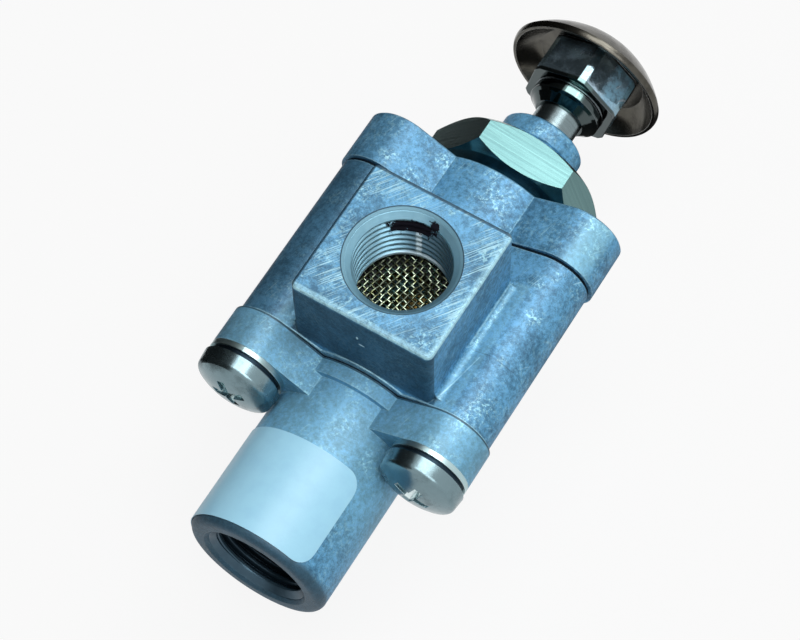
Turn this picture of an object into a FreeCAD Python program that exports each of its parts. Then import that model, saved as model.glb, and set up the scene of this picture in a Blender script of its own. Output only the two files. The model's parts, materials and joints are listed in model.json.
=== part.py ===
import FreeCAD, Part
import math
import os

# Air brake control valve, panel mounted, with a push knob.
# Three castings are stacked along the plunger axis and drawn together by three long screws.
# Frame in millimetres: the plunger runs along Y and the knob is at +Y.
# The supply port faces +Z, and X runs across the two upper lobes.
# The origin is on the plunger axis, in the face of the cover that the panel lies against.

V = FreeCAD.Vector
ORIGIN = V(0, 0, 0)
AXIS_X = V(1, 0, 0)
AXIS_Y = V(0, 1, 0)
AXIS_Z = V(0, 0, 1)

# Castings: the lobed outline
LOBE_R = 6.4             # round end of a lobe on the cover and the cap
BODY_LOBE_R = 5.85       # the body's lobes stand back a little from the others
CAP_CORE_STEP = 1.25     # round core of the cap, outside the tube
CORE_STEP = 1.0          # round core of the other two castings, outside the cap's
LOBE_ANGLES = (30, 150, 270)
LOBE_HALF_ANGLE = 30     # from a lobe's middle to its crease with the core

# Castings: the stack along the plunger axis
COVER_T = 9.1
COVER_GASKET_T = 0.5
BODY_L = 29.75
CAP_GASKET_T = 0.25
CAP_STEP_T = 2.6         # short length of full core below the cap gasket
CAP_LOBE_T = 6.3         # a lobe of the cap
GASKET_INSET = 0.15
CAST_EDGE_BEVEL = 0.3

# Supply boss on the body
BOSS_W = 23.8
BOSS_TOP_Z = 28.4
BOSS_END_SETBACK = 0.25  # boss wall behind the body's lower end
BOSS_CORNER_R = 1.0
BOSS_TOP_EDGE_R = 0.5
BOSS_FOOT_R = 1.2

# Tube with the delivery port
TUBE_R = 11.75
TUBE_L = 27.95
TUBE_END_R = 1.5

# Ports, 3/8-18 pipe thread, as plain holes at the thread's major radius
PORT_R = 8.45
PORT_CHAMFER_R = 8.97
SUPPLY_PORT_DEPTH = 12.2
DELIVERY_PORT_DEPTH = 12.0
SUPPLY_PASSAGE_R = 5.0
DELIVERY_PASSAGE_R = 5.0
EXHAUST_R = 2.6
EXHAUST_ANGLE = 330      # between the right lobe and the lower one

# Threaded neck, 9/16-18, as its root cylinder
NECK_MAJOR_R = 7.15
NECK_THREAD_DEPTH = 0.55
NECK_ROOT_R = NECK_MAJOR_R - NECK_THREAD_DEPTH
NECK_L = 15.5
NECK_TIP_R = 0.3
NECK_MOUTH_CHAMFER = 0.5

# Panel nut
NUT_AF = 26.2
NUT_T = 6.6
NUT_STANDOFF = 2.05
NUT_TURN = 19.8          # how far the nut stands turned about its axis
NUT_CHAMFER_ANGLE = 37
NUT_MOUTH = 0.8

# Screws through the stack, 1/4-20
SCREW_R = 3.1
SCREW_HOLE_R = 3.4
SCREW_TAP_DEPTH = 6.0
SCREW_TAP_CLEARANCE = 0.02
SCREW_TIP_GAP = 0.5
SCREW_HEAD_R = 6.65
SCREW_HEAD_TOP_R = 6.4
SCREW_HEAD_SIDE = 2.45
SCREW_HEAD_DOME = 1.6
SCREW_HEAD_EDGE_R = 0.9
SCREW_HEAD_GAP = 0.1     # between a head and the tube
RECESS_SPAN = 6.4        # cross recess, tip to tip at the top of the head
RECESS_W = 1.5
RECESS_DEPTH = 2.3
RECESS_FLOOR_SPAN = 2.6
FLAT_WASHER_R = 6.4
FLAT_WASHER_T = 0.85
LOCK_WASHER_R = 5.9
LOCK_WASHER_T = 0.87
LOCK_WASHER_SPLIT = 0.8

# Plunger
TRAVEL = 4.0             # how far the knob can be pushed in
STEM_R = 3.85
STEM_BARE_L = 20.4       # from the panel face to the shoulder under the knob
STEM_THREAD_R = 3.3
STEM_THREAD_L = 8.5
STEM_TAIL_R = 2.45
KNOB_BORE_CLEARANCE = 0.02
KNOB_SEAT_GAP = 0.02

# Knob
KNOB_R = 13.4
KNOB_RIM_Y = 29.3        # where the dome meets the rim
KNOB_CROWN_Y = 35.9
KNOB_LIP_Y = 28.3        # lowest line of the rim
KNOB_LIP_W = 0.45
KNOB_LIP_INSET = 0.3
KNOB_DISH_Y = 31.3       # floor of the hollow under the head
KNOB_DISH_R = 9.4
HUB_AF = 14.9
HUB_Y = 23.7             # lower end of the hexagon
HUB_TURN = 17.5
HUB_CORNER_CUT = 0.35
COLLAR_R = 6.2
COLLAR_Y = 22.0
COLLAR_LIP_R = 5.6       # outer edge of the cone under the collar
COLLAR_LIP_Y = 21.6
COLLAR_FOOT_R = 4.3
COLLAR_GROOVE_DEPTH = 0.4
COLLAR_GROOVE_W = 0.35
STEM_TIP_GAP = 0.5       # end of the stem's thread to the end of its hole

# Bore of the cover, from the mouth of the neck inwards
RUNNING_GAP = 0.05
PRESS_GAP = 0.01
SEAL_GAP = 0.02
GUIDE_BUSH_R = 5.2
GUIDE_BUSH_TOP_Y = 12.0
GUIDE_BUSH_L = 15.0
WIPER_POCKET_R = 5.6
WIPER_T = 1.6
NECK_MOUTH_R = 4.4
SEAL_POCKET_R = 5.8
SEAL_SECTION = 1.75
RETAINER_GROOVE_R = 6.3
RETAINER_BORE_R = 4.4
RETAINER_T = 0.8
SPIGOT_CLEARANCE = 0.1   # cover's spigot in the liner
SPIGOT_L = 1.4           # spigot beyond the cover's face, into the liner
BUMPER_R = 7.2
BUMPER_BORE_R = 4.0

# Liner in the body's bore
LINER_R = 9.6
LINER_BORE_R = 7.6
LINER_GROOVE_DEPTH = 0.9
LINER_GROOVE_W = 5.0
SUPPLY_HOLE_R = 1.4
EXHAUST_HOLE_R = 0.9
EXHAUST_HOLE_LAP = 0.2   # how far a land covers the edge of an exhaust hole at rest
PORT_HOLES = 6
LINER_RING_W = 1.9
LINER_RING_DEPTH = 1.2
LINER_RING_MARGIN = 2.4  # liner end to the middle of its end ring

# Spool in the liner
LAND_W = 3.2
SPOOL_END_SETBACK = 0.45  # spool's lower end inside the liner's end at rest
SPOOL_TOP_SETBACK = 2.4   # and its upper end inside the liner's other end
NECK1_R = 4.8
NECK2_W = 4.5
NECK2_R = 5.6
SPOOL_BORE_R = 2.9
SPOOL_CROSS_R = 1.3
SPOOL_RING_W = 1.5
SPOOL_RING_DEPTH = 1.1
CLIP_SECTION_R = 0.45
CLIP_SETBACK = 2.0
CLIP_OPENING = 1.0
STEM_SEAT_GAP = 0.05
STEM_TAIL_L = 3.6
STEM_TAIL_GAP = 0.3
STEM_TAIL_CHAMFER = 0.3
STEM_TIP_CHAMFER = 0.5

# Cap chamber with the return spring
CHAMBER_R = 8.6
SPRING_SEAT_R = 7.6
SPRING_SEAT_BORE_R = 4.0
SPRING_SEAT_T = 0.6
SPRING_WIRE_R = 0.45
SPRING_R = 5.6
SPRING_TURNS = 4
SPRING_BLOCK_GAP = 0.3   # left over when the knob is pushed right in

# Inlet screen
SCREEN_T = 0.4
SCREEN_DROP = 0.4        # screen's face below the floor of the port
SCREEN_SEAT_R = 7.9
SCREEN_GAP = 0.03

# Blank label round the tube
LABEL_T = 0.12
LABEL_GAP = 0.04
LABEL_FROM_END = 1.05    # tube end to the label's lower edge
LABEL_W = 16.4
LABEL_START_ANGLE = 44
LABEL_SPAN_ANGLE = 175
LABEL_CORNER_R = 2.8

# Outline of the castings, worked out from the tube and the screw heads beside it
SCREW_PITCH_R = TUBE_R + SCREW_HEAD_R + SCREW_HEAD_GAP
CAP_CORE_R = TUBE_R + CAP_CORE_STEP
CORE_R = CAP_CORE_R + CORE_STEP

# Places along the plunger axis, worked out from the stack
COVER_Y = -COVER_T
BODY_TOP_Y = COVER_Y - COVER_GASKET_T
BODY_END_Y = BODY_TOP_Y - BODY_L
CAP_Y = BODY_END_Y - CAP_GASKET_T
CAP_STEP_Y = CAP_Y - CAP_STEP_T
CAP_LOBE_Y = CAP_Y - CAP_LOBE_T
TUBE_END_Y = CAP_STEP_Y - TUBE_L
BOSS_Y = BODY_END_Y + BOSS_END_SETBACK + BOSS_W / 2
SPOOL_Y = BODY_END_Y + SPOOL_END_SETBACK
SPRING_BLOCK_L = 2 * SPRING_WIRE_R * (SPRING_TURNS + 1)
SPRING_SEAT_Y = SPOOL_Y - TRAVEL - SPRING_BLOCK_GAP - SPRING_BLOCK_L
CHAMBER_FLOOR_Y = SPRING_SEAT_Y - SPRING_SEAT_T
SPOOL_TOP_Y = BODY_TOP_Y - SPOOL_TOP_SETBACK
NECK1_Y = SPOOL_Y + LAND_W
LAND3_Y = SPOOL_TOP_Y - LAND_W
NECK2_Y = LAND3_Y - NECK2_W
LAND2_Y = NECK2_Y - LAND_W
EXHAUST_Y = LAND3_Y - EXHAUST_HOLE_R + EXHAUST_HOLE_LAP
SCREEN_SEAT_Z = BOSS_TOP_Z - SUPPLY_PORT_DEPTH - SCREEN_DROP - SCREEN_T
BODY_BORE_R = LINER_R + RUNNING_GAP
SPOOL_R = LINER_BORE_R - RUNNING_GAP
STEM_BORE_R = STEM_R + RUNNING_GAP
GUIDE_BUSH_END_Y = GUIDE_BUSH_TOP_Y - GUIDE_BUSH_L
WIPER_Y = GUIDE_BUSH_TOP_Y + RUNNING_GAP
SEAL_Y = GUIDE_BUSH_END_Y - RUNNING_GAP - SEAL_SECTION
RETAINER_Y = SEAL_Y - RUNNING_GAP - RETAINER_T
SPIGOT_Y = COVER_Y - SPIGOT_L


def turned(points):
    """Solid of revolution about the plunger axis from (radius, y) points."""
    outline = Part.makePolygon([V(r, y, 0) for r, y in points + points[:1]])
    return Part.Face(outline).revolve(ORIGIN, AXIS_Y, 360)


def rod(radius, y_low, y_high, x=0.0, z=0.0):
    """Cylinder along the plunger axis between two heights."""
    return Part.makeCylinder(radius, y_high - y_low, V(x, y_low, z), AXIS_Y)


def ring(outer, inner, y_low, y_high, x=0.0, z=0.0):
    """Flat ring along the plunger axis."""
    return rod(outer, y_low, y_high, x, z).cut(rod(inner, y_low, y_high, x, z))


def lobe_spot(angle, radius=SCREW_PITCH_R):
    """X and Z of a point on a lobe's middle line."""
    turn = math.radians(angle)
    return radius * math.cos(turn), radius * math.sin(turn)


def local_point(angle, out, side, y):
    """Point given by its distance out along a lobe's middle line and its distance to the side."""
    turn = math.radians(angle)
    x = out * math.cos(turn) - side * math.sin(turn)
    z = out * math.sin(turn) + side * math.cos(turn)
    return V(x, y, z)


def lobe_tangent(core_r, lobe_r):
    """Where the flat flank of a lobe meets its round end, in the lobe's own directions."""
    half = math.radians(LOBE_HALF_ANGLE)
    crease_out = core_r * math.cos(half)
    crease_side = core_r * math.sin(half)
    reach = math.hypot(crease_out - SCREW_PITCH_R, crease_side)
    to_crease = math.atan2(crease_side, crease_out - SCREW_PITCH_R)
    turn = to_crease - math.acos(lobe_r / reach)
    out = SCREW_PITCH_R + lobe_r * math.cos(turn)
    side = lobe_r * math.sin(turn)
    return crease_out, crease_side, out, side


def lobed_slab(y_low, y_high, core_r, lobe_r):
    """Slab with a casting's outline: a round core and three lobes with flat flanks."""
    crease_out, crease_side, out, side = lobe_tangent(core_r, lobe_r)
    edges = []
    for angle in LOBE_ANGLES:
        crease_in = local_point(angle, crease_out, -crease_side, y_low)
        round_in = local_point(angle, out, -side, y_low)
        tip = local_point(angle, SCREW_PITCH_R + lobe_r, 0, y_low)
        round_out = local_point(angle, out, side, y_low)
        crease_back = local_point(angle, crease_out, crease_side, y_low)
        middle = local_point(angle + 60, core_r, 0, y_low)
        next_crease = local_point(angle + 120, crease_out, -crease_side, y_low)
        edges.append(Part.LineSegment(crease_in, round_in).toShape())
        edges.append(Part.Arc(round_in, tip, round_out).toShape())
        edges.append(Part.LineSegment(round_out, crease_back).toShape())
        edges.append(Part.Arc(crease_back, middle, next_crease).toShape())
    outline = Part.Wire(Part.__sortEdges__(edges))
    return Part.Face(outline).extrude(V(0, y_high - y_low, 0))


def lobe_pad(angle, y_low, y_high):
    """One lobe of the cap by itself, running inwards between its flanks to the tube."""
    crease_out, crease_side, out, side = lobe_tangent(CAP_CORE_R, LOBE_R)
    slope = (crease_side - side) / (out - crease_out)
    root_out = TUBE_R / 2
    root_side = side + slope * (out - root_out)
    root_a = local_point(angle, root_out, -root_side, y_low)
    round_a = local_point(angle, out, -side, y_low)
    tip = local_point(angle, SCREW_PITCH_R + LOBE_R, 0, y_low)
    round_b = local_point(angle, out, side, y_low)
    root_b = local_point(angle, root_out, root_side, y_low)
    edges = [Part.LineSegment(root_a, round_a).toShape(),
             Part.Arc(round_a, tip, round_b).toShape(),
             Part.LineSegment(round_b, root_b).toShape(),
             Part.LineSegment(root_b, root_a).toShape()]
    return Part.Face(Part.Wire(edges)).extrude(V(0, y_high - y_low, 0))


def screw_holes(shape, radius, y_low, y_high):
    """Cuts one hole on each screw axis."""
    for angle in LOBE_ANGLES:
        x, z = lobe_spot(angle)
        shape = shape.cut(rod(radius, y_low, y_high, x, z))
    return shape


def rounded_edges(shape, radius, wanted):
    """Rounds the edges for which wanted(edge) is true."""
    edges = [edge for edge in shape.Edges if wanted(edge)]
    return shape.makeFillet(radius, edges)


def edge_at_y(edge, y):
    """True for an edge that lies wholly in the plane at height y."""
    box = edge.BoundBox
    return abs(box.YMin - y) < 1e-3 and abs(box.YMax - y) < 1e-3


def boss_foot(angle):
    """Hollow fillet between the boss's side wall and the flank of the lobe beside it."""
    crease_out, crease_side, out, side = lobe_tangent(CORE_R, BODY_LOBE_R)
    upper = 1 if angle < 90 else -1
    wall_x = upper * BOSS_W / 2
    low = BOSS_Y - BOSS_W / 2 + BOSS_CORNER_R
    high = BOSS_Y + BOSS_W / 2 - BOSS_CORNER_R
    crease = local_point(angle, crease_out, upper * crease_side, low)
    outer = local_point(angle, out, upper * side, low)
    along = (outer - crease).normalize()
    corner = crease + along * ((wall_x - crease.x) / along.x)
    half_gap = math.acos(along.dot(AXIS_Z)) / 2
    reach = BOSS_FOOT_R / math.tan(half_gap)
    between = (along + AXIS_Z).normalize()
    centre = corner + between * (BOSS_FOOT_R / math.sin(half_gap))
    web = Part.makePolygon([corner, corner + AXIS_Z * reach, centre, corner + along * reach, corner])
    web = Part.Face(web).extrude(V(0, high - low, 0))
    return web.cut(Part.makeCylinder(BOSS_FOOT_R, high - low, centre, AXIS_Y))


def make_valve_body():
    """Middle casting with the square supply boss."""
    half = BOSS_W / 2
    slab = lobed_slab(BODY_END_Y, BODY_TOP_Y, CORE_R, BODY_LOBE_R)
    boss = Part.makeBox(BOSS_W, BOSS_W, BOSS_TOP_Z, V(-half, BOSS_Y - half, 0))
    upright = rounded_edges(boss, BOSS_CORNER_R, lambda e: e.BoundBox.ZLength > BOSS_TOP_Z / 2)
    boss = rounded_edges(upright, BOSS_TOP_EDGE_R, lambda e: e.BoundBox.ZMin > BOSS_TOP_Z - 0.01)
    body = slab.fuse(boss)
    for angle in (30, 150):
        body = body.fuse(boss_foot(angle))
    body = body.removeSplitter()
    body = body.cut(rod(BODY_BORE_R, BODY_END_Y, BODY_TOP_Y))
    body = screw_holes(body, SCREW_HOLE_R, BODY_END_Y, BODY_TOP_Y)
    body = body.cut(port_cutter(SUPPLY_PORT_DEPTH, V(0, BOSS_Y, BOSS_TOP_Z), V(0, 0, -1)))
    seat_depth = SCREEN_T + SCREEN_DROP
    seat = Part.makeCylinder(SCREEN_SEAT_R, seat_depth, V(0, BOSS_Y, SCREEN_SEAT_Z), AXIS_Z)
    passage = Part.makeCylinder(SUPPLY_PASSAGE_R, SCREEN_SEAT_Z, V(0, BOSS_Y, 0), AXIS_Z)
    body = body.cut(seat).cut(passage)
    x, z = lobe_spot(EXHAUST_ANGLE, CORE_R + 1)
    return body.cut(Part.makeCylinder(EXHAUST_R, CORE_R + 1, V(x, EXHAUST_Y, z), V(-x, 0, -z)))


def port_cutter(depth, mouth, inward):
    """Tapped port as a plain hole with a chamfered mouth."""
    chamfer = PORT_CHAMFER_R - PORT_R
    hole = Part.makeCylinder(PORT_R, depth, mouth, inward)
    return hole.fuse(Part.makeCone(PORT_CHAMFER_R, PORT_R, chamfer, mouth, inward))


def make_cover():
    """Casting at the knob end, with the neck that goes through the panel."""
    slab = lobed_slab(COVER_Y, 0, CORE_R, LOBE_R)
    slab = slab.makeChamfer(CAST_EDGE_BEVEL, [edge for edge in slab.Edges if edge_at_y(edge, 0)])
    neck = rod(NECK_ROOT_R, -1, NECK_L)
    neck = rounded_edges(neck, NECK_TIP_R, lambda e: edge_at_y(e, NECK_L))
    spigot = rod(LINER_BORE_R - SPIGOT_CLEARANCE, SPIGOT_Y, COVER_Y + 1)
    cover = slab.fuse(neck).fuse(spigot).removeSplitter()
    cover = cover.cut(rod(NECK_MOUTH_R, GUIDE_BUSH_TOP_Y, NECK_L))
    mouth = Part.makeCone(NECK_MOUTH_R, NECK_MOUTH_R + NECK_MOUTH_CHAMFER, NECK_MOUTH_CHAMFER,
                          V(0, NECK_L - NECK_MOUTH_CHAMFER, 0), AXIS_Y)
    cover = cover.cut(mouth)
    cover = cover.cut(rod(WIPER_POCKET_R, GUIDE_BUSH_TOP_Y, WIPER_Y + WIPER_T + RUNNING_GAP))
    cover = cover.cut(rod(GUIDE_BUSH_R + PRESS_GAP, SPIGOT_Y, GUIDE_BUSH_TOP_Y))
    cover = cover.cut(rod(SEAL_POCKET_R, SPIGOT_Y, GUIDE_BUSH_END_Y))
    cover = cover.cut(rod(RETAINER_GROOVE_R, RETAINER_Y, RETAINER_Y + RETAINER_T + RUNNING_GAP))
    for angle in LOBE_ANGLES:
        x, z = lobe_spot(angle)
        hole = rod(SCREW_R + SCREW_TAP_CLEARANCE, COVER_Y, COVER_Y + SCREW_TAP_DEPTH, x, z)
        cover = cover.cut(hole)
    return cover


def make_seal_retainer():
    """Snap ring under the stem seal, open at one side."""
    outer = RETAINER_GROOVE_R - RUNNING_GAP
    snap = ring(outer, RETAINER_BORE_R, RETAINER_Y, RETAINER_Y + RETAINER_T)
    gap = Part.makeBox(outer, RETAINER_T, 2 * RETAINER_T, V(0, RETAINER_Y, -RETAINER_T))
    return snap.cut(gap)


def make_end_cap():
    """Casting at the far end, with the tube that carries the delivery port."""
    cap = lobed_slab(CAP_STEP_Y, CAP_Y, CAP_CORE_R, LOBE_R)
    for angle in LOBE_ANGLES:
        cap = cap.fuse(lobe_pad(angle, CAP_LOBE_Y, CAP_Y))
    tube = rod(TUBE_R, TUBE_END_Y, CAP_Y)
    tube = rounded_edges(tube, TUBE_END_R, lambda e: edge_at_y(e, TUBE_END_Y))
    cap = cap.fuse(tube).removeSplitter()
    cap = cap.cut(rod(CHAMBER_R, CHAMBER_FLOOR_Y, CAP_Y))
    cap = cap.cut(rod(DELIVERY_PASSAGE_R, TUBE_END_Y, CAP_Y))
    cap = cap.cut(port_cutter(DELIVERY_PORT_DEPTH, V(0, TUBE_END_Y, 0), AXIS_Y))
    return screw_holes(cap, SCREW_HOLE_R, CAP_LOBE_Y, CAP_Y)


def make_gasket(y_low, y_high, core_r):
    """Gasket with the smaller of two castings' outlines, set in a little."""
    gasket = lobed_slab(y_low, y_high, core_r - GASKET_INSET, BODY_LOBE_R - GASKET_INSET)
    gasket = gasket.cut(rod(LINER_R, y_low, y_high))
    return screw_holes(gasket, SCREW_HOLE_R, y_low, y_high)


def cross_recess(y_floor, y_top):
    """Cutter for a cross recess that narrows towards its floor."""
    wings = []
    for turn in (0, 90):
        floor = Part.makePolygon([V(sx * RECESS_FLOOR_SPAN / 2, y_floor, sz * RECESS_W / 3)
                                  for sx, sz in ((-1, -1), (1, -1), (1, 1), (-1, 1), (-1, -1))])
        top = Part.makePolygon([V(sx * RECESS_SPAN / 2, y_top, sz * RECESS_W / 2)
                                for sx, sz in ((-1, -1), (1, -1), (1, 1), (-1, 1), (-1, -1))])
        wing = Part.makeLoft([floor, top], True, True)
        wing.rotate(ORIGIN, AXIS_Y, turn)
        wings.append(wing)
    return wings[0].fuse(wings[1])


def make_cap_screws():
    """Three pan-head screws with cross recesses, each turned its own way."""
    under_head = CAP_LOBE_Y - FLAT_WASHER_T - LOCK_WASHER_T
    side_end = under_head - SCREW_HEAD_SIDE
    crown = side_end - SCREW_HEAD_DOME
    tip = COVER_Y + SCREW_TAP_DEPTH - SCREW_TIP_GAP
    dome_r = (SCREW_HEAD_TOP_R ** 2 + SCREW_HEAD_DOME ** 2) / (2 * SCREW_HEAD_DOME)
    half_turn = math.asin(SCREW_HEAD_TOP_R / dome_r) / 2
    dome_mid = V(dome_r * math.sin(half_turn), crown + dome_r * (1 - math.cos(half_turn)), 0)
    top = V(0, crown, 0)
    shoulder = V(SCREW_HEAD_TOP_R, side_end, 0)
    heel = V(SCREW_HEAD_R, under_head, 0)
    middle = V(0, under_head, 0)
    edges = [Part.Arc(top, dome_mid, shoulder).toShape(),
             Part.LineSegment(shoulder, heel).toShape(),
             Part.LineSegment(heel, middle).toShape(),
             Part.LineSegment(middle, top).toShape()]
    blank = Part.Face(Part.Wire(edges)).revolve(ORIGIN, AXIS_Y, 360)
    blank = rounded_edges(blank, SCREW_HEAD_EDGE_R, lambda e: edge_at_y(e, side_end))
    head = blank.cut(cross_recess(crown + RECESS_DEPTH, crown))
    screws = []
    for index, angle in enumerate(LOBE_ANGLES):
        screw = head.fuse(rod(SCREW_R, under_head, tip))
        x, z = lobe_spot(angle)
        screw.rotate(ORIGIN, AXIS_Y, 25 + 40 * index)
        screw.translate(V(x, 0, z))
        screws.append(screw)
    return Part.makeCompound(screws)


def make_flat_washers():
    """One flat washer under each screw head, on its lobe of the cap."""
    washers = []
    for angle in LOBE_ANGLES:
        x, z = lobe_spot(angle)
        low = CAP_LOBE_Y - FLAT_WASHER_T
        washers.append(ring(FLAT_WASHER_R, SCREW_HOLE_R, low, CAP_LOBE_Y, x, z))
    return Part.makeCompound(washers)


def make_lock_washers():
    """Split spring washers between the flat washers and the heads."""
    high = CAP_LOBE_Y - FLAT_WASHER_T
    low = high - LOCK_WASHER_T
    washers = []
    for angle in LOBE_ANGLES:
        x, z = lobe_spot(angle)
        washer = ring(LOCK_WASHER_R, SCREW_HOLE_R, low, high, x, z)
        corner = V(x, low, z - LOCK_WASHER_SPLIT / 2)
        split = Part.makeBox(LOCK_WASHER_R + 1, LOCK_WASHER_T, LOCK_WASHER_SPLIT, corner)
        washers.append(washer.cut(split))
    return Part.makeCompound(washers)


def hexagon(across_flats, y_low, y_high, turn):
    """Hexagonal prism along the plunger axis with a corner at the angle turn."""
    corner_r = across_flats / 2 / math.cos(math.radians(30))
    corners = []
    for index in range(7):
        angle = math.radians(turn + 60 * index)
        corners.append(V(corner_r * math.cos(angle), y_low, corner_r * math.sin(angle)))
    return Part.Face(Part.makePolygon(corners)).extrude(V(0, y_high - y_low, 0))


def make_panel_nut():
    """Hexagonal nut on the neck, chamfered on both faces."""
    low = NUT_STANDOFF
    high = low + NUT_T
    flat_r = NUT_AF / 2
    corner_r = flat_r / math.cos(math.radians(30))
    drop = (corner_r - flat_r) * math.tan(math.radians(NUT_CHAMFER_ANGLE))
    over = corner_r + 1
    over_drop = drop * (over - flat_r) / (corner_r - flat_r)
    envelope = turned([(0, low), (flat_r, low), (over, low + over_drop),
                       (over, high - over_drop), (flat_r, high), (0, high)])
    nut = hexagon(NUT_AF, low, high, 30 + NUT_TURN).common(envelope)
    bore = NECK_ROOT_R + RUNNING_GAP
    mouth = bore + NUT_MOUTH
    return nut.cut(turned([(0, low), (mouth, low), (bore, low + NUT_MOUTH),
                           (bore, high - NUT_MOUTH), (mouth, high), (0, high)]))


def make_knob():
    """Mushroom knob: domed head hollow underneath, hexagonal hub and turned collar."""
    rise = KNOB_CROWN_Y - KNOB_RIM_Y
    dome_r = (KNOB_R ** 2 + rise ** 2) / (2 * rise)
    half_turn = math.asin(KNOB_R / dome_r) / 2
    crown = V(0, KNOB_CROWN_Y, 0)
    dome_mid = V(dome_r * math.sin(half_turn), KNOB_CROWN_Y - dome_r * (1 - math.cos(half_turn)), 0)
    side = V(KNOB_R, KNOB_RIM_Y, 0)
    lip_out = V(KNOB_R - KNOB_LIP_INSET, KNOB_LIP_Y, 0)
    lip_bulge = V(KNOB_R - KNOB_LIP_INSET / 6, (KNOB_RIM_Y + KNOB_LIP_Y) / 2, 0)
    lip_in = V(lip_out.x - KNOB_LIP_W, KNOB_LIP_Y, 0)
    hollow = V(KNOB_DISH_R, KNOB_DISH_Y, 0)
    hollow_mid = V((lip_in.x + 2 * KNOB_DISH_R) / 3, (KNOB_LIP_Y + 4 * KNOB_DISH_Y) / 5, 0)
    middle = V(0, KNOB_DISH_Y, 0)
    edges = [Part.Arc(crown, dome_mid, side).toShape(),
             Part.Arc(side, lip_bulge, lip_out).toShape(),
             Part.LineSegment(lip_out, lip_in).toShape(),
             Part.Arc(lip_in, hollow_mid, hollow).toShape(),
             Part.LineSegment(hollow, middle).toShape(),
             Part.LineSegment(middle, crown).toShape()]
    head = Part.Face(Part.Wire(edges)).revolve(ORIGIN, AXIS_Y, 360)
    hub_corner_r = HUB_AF / 2 / math.cos(math.radians(30)) - HUB_CORNER_CUT
    hub_top = (KNOB_DISH_Y + KNOB_CROWN_Y) / 2
    hub = hexagon(HUB_AF, HUB_Y, hub_top, HUB_TURN).common(rod(hub_corner_r, HUB_Y, hub_top))
    collar = turned([(0, STEM_BARE_L), (COLLAR_FOOT_R, STEM_BARE_L), (COLLAR_LIP_R, COLLAR_LIP_Y),
                     (COLLAR_R, COLLAR_Y), (COLLAR_R, HUB_Y), (0, HUB_Y)])
    groove_y = HUB_Y - COLLAR_GROOVE_W
    collar = ring_groove(collar, COLLAR_R, COLLAR_GROOVE_DEPTH, COLLAR_GROOVE_W, groove_y)
    knob = head.fuse(hub).fuse(collar).removeSplitter()
    bore = STEM_THREAD_R + KNOB_BORE_CLEARANCE
    return knob.cut(rod(bore, STEM_BARE_L, STEM_BARE_L + STEM_THREAD_L + STEM_TIP_GAP))


def make_plunger_stem():
    """Steel stem from the spool to the knob."""
    seat = SPOOL_TOP_Y + STEM_SEAT_GAP
    tail = SPOOL_TOP_Y - STEM_TAIL_L
    clip = SPOOL_TOP_Y - CLIP_SETBACK
    groove_r = STEM_TAIL_R - CLIP_SECTION_R
    half = CLIP_SECTION_R + RUNNING_GAP
    top = STEM_BARE_L + STEM_THREAD_L
    shoulder = STEM_BARE_L - KNOB_SEAT_GAP
    return turned([(0, tail), (STEM_TAIL_R - STEM_TAIL_CHAMFER, tail),
                   (STEM_TAIL_R, tail + STEM_TAIL_CHAMFER),
                   (STEM_TAIL_R, clip - half), (groove_r, clip - half),
                   (groove_r, clip + half), (STEM_TAIL_R, clip + half),
                   (STEM_TAIL_R, seat), (STEM_R, seat), (STEM_R, shoulder),
                   (STEM_THREAD_R, shoulder), (STEM_THREAD_R, top - STEM_TIP_CHAMFER),
                   (STEM_THREAD_R - STEM_TIP_CHAMFER, top), (0, top)])


def make_stem_clip():
    """Wire ring that holds the stem in the spool and lets it swivel."""
    y = SPOOL_TOP_Y - CLIP_SETBACK
    low = y - CLIP_SECTION_R
    high = y + CLIP_SECTION_R
    inner = STEM_TAIL_R - CLIP_SECTION_R + RUNNING_GAP
    outer = STEM_TAIL_R + CLIP_SECTION_R
    clip = ring(outer, inner, low, high)
    return clip.cut(Part.makeBox(2 * outer, high - low, CLIP_OPENING, V(0, low, -CLIP_OPENING / 2)))


def ring_middles():
    """Heights of the three seal rings on the spool's lands."""
    return [SPOOL_Y + LAND_W / 2, LAND2_Y + LAND_W / 2, LAND3_Y + LAND_W / 2]


def ring_groove(shape, surface_r, depth, width, y):
    """Cuts a square groove round the outside of a shape."""
    return shape.cut(ring(surface_r + 1, surface_r - depth, y - width / 2, y + width / 2))


def groove_rings(surface_r, wall_r, depth, width, heights):
    """Seal rings that lie in square grooves, just clear of the wall they seal against."""
    rings = []
    for y in heights:
        half = width / 2 - RUNNING_GAP
        outer = wall_r - SEAL_GAP
        rings.append(ring(outer, surface_r - depth + RUNNING_GAP, y - half, y + half))
    return Part.makeCompound(rings)


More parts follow.
